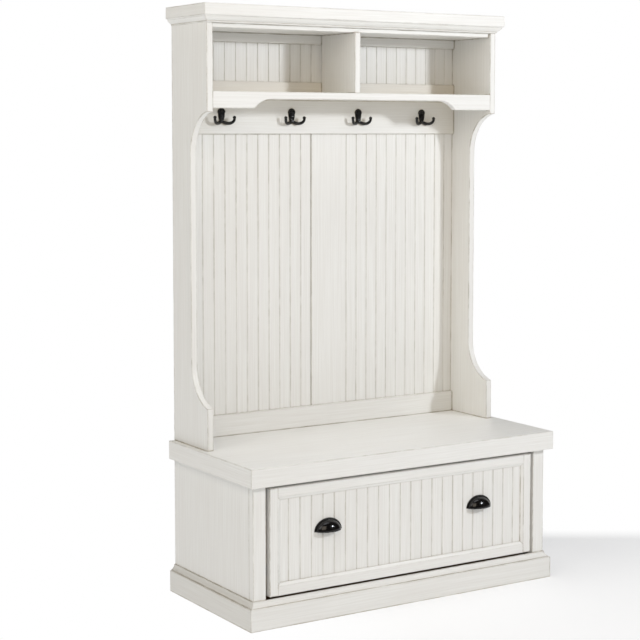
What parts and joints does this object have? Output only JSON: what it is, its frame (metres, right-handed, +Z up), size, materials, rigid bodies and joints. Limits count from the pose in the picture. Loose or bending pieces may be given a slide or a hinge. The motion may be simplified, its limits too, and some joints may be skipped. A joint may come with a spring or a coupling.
{
  "type": "hall tree",
  "caption": "Hall tree with a bench over one wide drawer, a beadboard back, coat hooks and two open cubbies under a moulded cornice.",
  "frame": {"origin": "on the floor, at the centre of the outline of the bench top seen from above", "axes": "+Z up, -Y out of the front, +X to the right of someone facing the front"},
  "size_m": [1.022, 0.473, 1.66],
  "materials": {
    "white_paint": "satin white paint over wood, rubbed through at the edges",
    "drawer_box_wood": "clear-lacquered pale wood",
    "hardboard": "thin painted hardboard",
    "black_iron": "black lacquered casting, semi-gloss",
    "zinc_steel": "zinc plated",
    "glide_plastic": "moulded"
  },
  "bodies": {
    "carcass": {"anti_tip_brackets": "zinc_steel", "arched_valance": "white_paint", "assembly_screws": "zinc_steel", "back_bottom_rail": "white_paint", "back_left_beadboard": "white_paint", "back_right_beadboard": "white_paint", "back_top_rail": "white_paint", "base_front_board": "white_paint", "base_left_board": "white_paint", "base_right_board": "white_paint", "bench_back_panel": "hardboard", "bench_bottom_panel": "hardboard", "bench_left_side": "white_paint", "bench_right_side": "white_paint", "bench_top_board": "white_paint", "bench_top_front_edge": "white_paint", "bench_top_left_edge": "white_paint", "bench_top_right_edge": "white_paint", "cabinet_slide_left": "zinc_steel", "cabinet_slide_right": "zinc_steel", "coat_hook_1": "black_iron", "coat_hook_2": "black_iron", "coat_hook_3": "black_iron", "coat_hook_4": "black_iron", "cornice_front_moulding": "white_paint", "cornice_left_moulding": "white_paint", "cornice_right_moulding": "white_paint", "cornice_top_board": "white_paint", "cubby_back_beadboard": "white_paint", "cubby_divider": "white_paint", "cubby_shelf": "white_paint", "face_frame_left_stile": "white_paint", "face_frame_right_stile": "white_paint", "face_frame_top_rail": "white_paint", "floor_glides": "glide_plastic", "hook_rail": "white_paint", "hook_screws": "black_iron", "hutch_dowels": "drawer_box_wood", "hutch_left_side": "white_paint", "hutch_right_side": "white_paint", "hutch_top_panel": "white_paint", "slide_mount_rail_left": "drawer_box_wood", "slide_mount_rail_right": "drawer_box_wood"},
    "drawer": {"cup_pull_left": "black_iron", "cup_pull_right": "black_iron", "drawer_box_back": "drawer_box_wood", "drawer_box_bottom": "hardboard", "drawer_box_front": "drawer_box_wood", "drawer_box_left_side": "drawer_box_wood", "drawer_box_right_side": "drawer_box_wood", "drawer_front_bottom_rail": "white_paint", "drawer_front_left_stile": "white_paint", "drawer_front_panel": "white_paint", "drawer_front_right_stile": "white_paint", "drawer_front_top_rail": "white_paint", "drawer_screws": "zinc_steel", "drawer_slide_left": "zinc_steel", "drawer_slide_right": "zinc_steel"},
    "slide_middle": {"middle_slide_left": "zinc_steel", "middle_slide_right": "zinc_steel"}
  },
  "joints": [
    {"name": "drawer_slide", "type": "slide", "parent": "carcass", "child": "drawer", "axis": [0, -1, 0], "range_m": [0, 0.36]},
    {"name": "slide_middle_travel", "type": "slide", "parent": "carcass", "child": "slide_middle", "axis": [0, -1, 0], "range_m": [0, 0.18]}
  ],
  "couplings": [
    {"joint": "slide_middle_travel", "follows": "drawer_slide", "ratio": 0.5}
  ]
}
